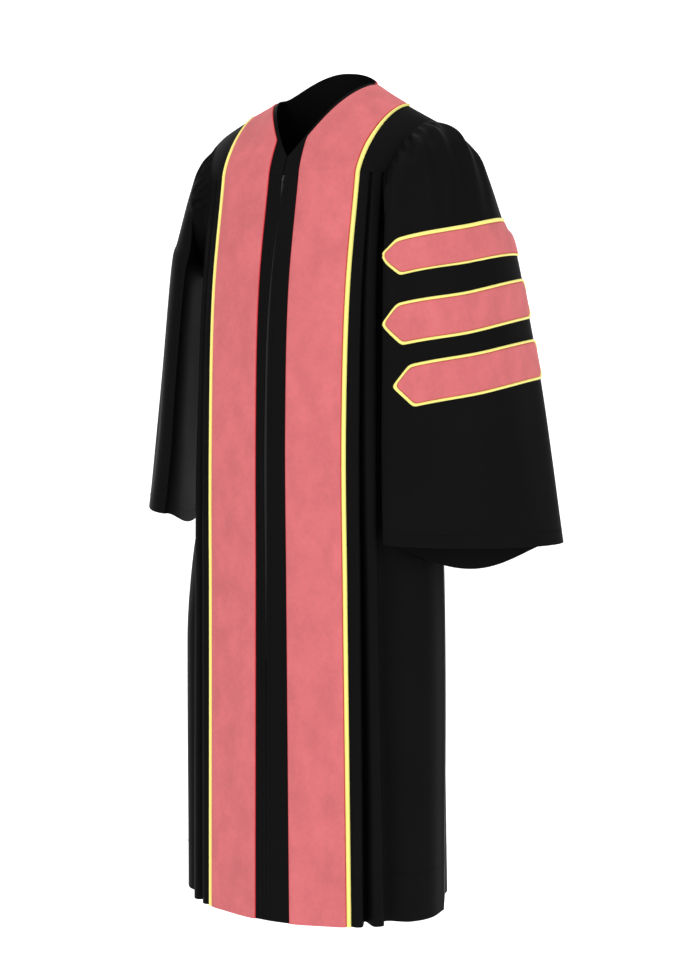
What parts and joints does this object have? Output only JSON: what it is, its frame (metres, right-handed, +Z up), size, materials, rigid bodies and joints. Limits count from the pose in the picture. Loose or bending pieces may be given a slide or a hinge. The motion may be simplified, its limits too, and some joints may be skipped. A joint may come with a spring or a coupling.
{
  "type": "graduation gown",
  "caption": "Doctoral graduation gown in its worn form: yoke, pleated fronts, gathered back, open bell sleeves, velvet front bands and sleeve bars with piped edges.",
  "frame": {"origin": "middle of the shoulder line at the base of the neck, halfway between the two points where the neck edge meets the shoulders", "axes": "+Z up along the wearer's height, +X to the wearer's left, -Y to the front"},
  "size_m": [0.707, 0.3678, 1.36],
  "materials": {
    "black_cloth": "soft satin sheen",
    "rose_velvet": "velvet pile",
    "yellow_piping": "satin cord",
    "black_tape": "woven tape",
    "slider_metal": "satin metal"
  },
  "bodies": {
    "root": {"back": "black_cloth", "yoke_back": "black_cloth", "front_left": "black_cloth", "front_right": "black_cloth", "yoke_front_left": "black_cloth", "yoke_front_right": "black_cloth", "sleeve_left": "black_cloth", "sleeve_right": "black_cloth", "velvet_band_left": "rose_velvet", "velvet_band_right": "rose_velvet", "bar_left_1": "rose_velvet", "bar_left_2": "rose_velvet", "bar_left_3": "rose_velvet", "bar_right_1": "rose_velvet", "bar_right_2": "rose_velvet", "bar_right_3": "rose_velvet", "band_piping_left": "yellow_piping", "band_piping_right": "yellow_piping", "bar_piping_left_1": "yellow_piping", "bar_piping_left_2": "yellow_piping", "bar_piping_left_3": "yellow_piping", "bar_piping_right_1": "yellow_piping", "bar_piping_right_2": "yellow_piping", "bar_piping_right_3": "yellow_piping", "zip_tape": "black_tape", "zip_slider": "slider_metal"}
  },
  "joints": []
}
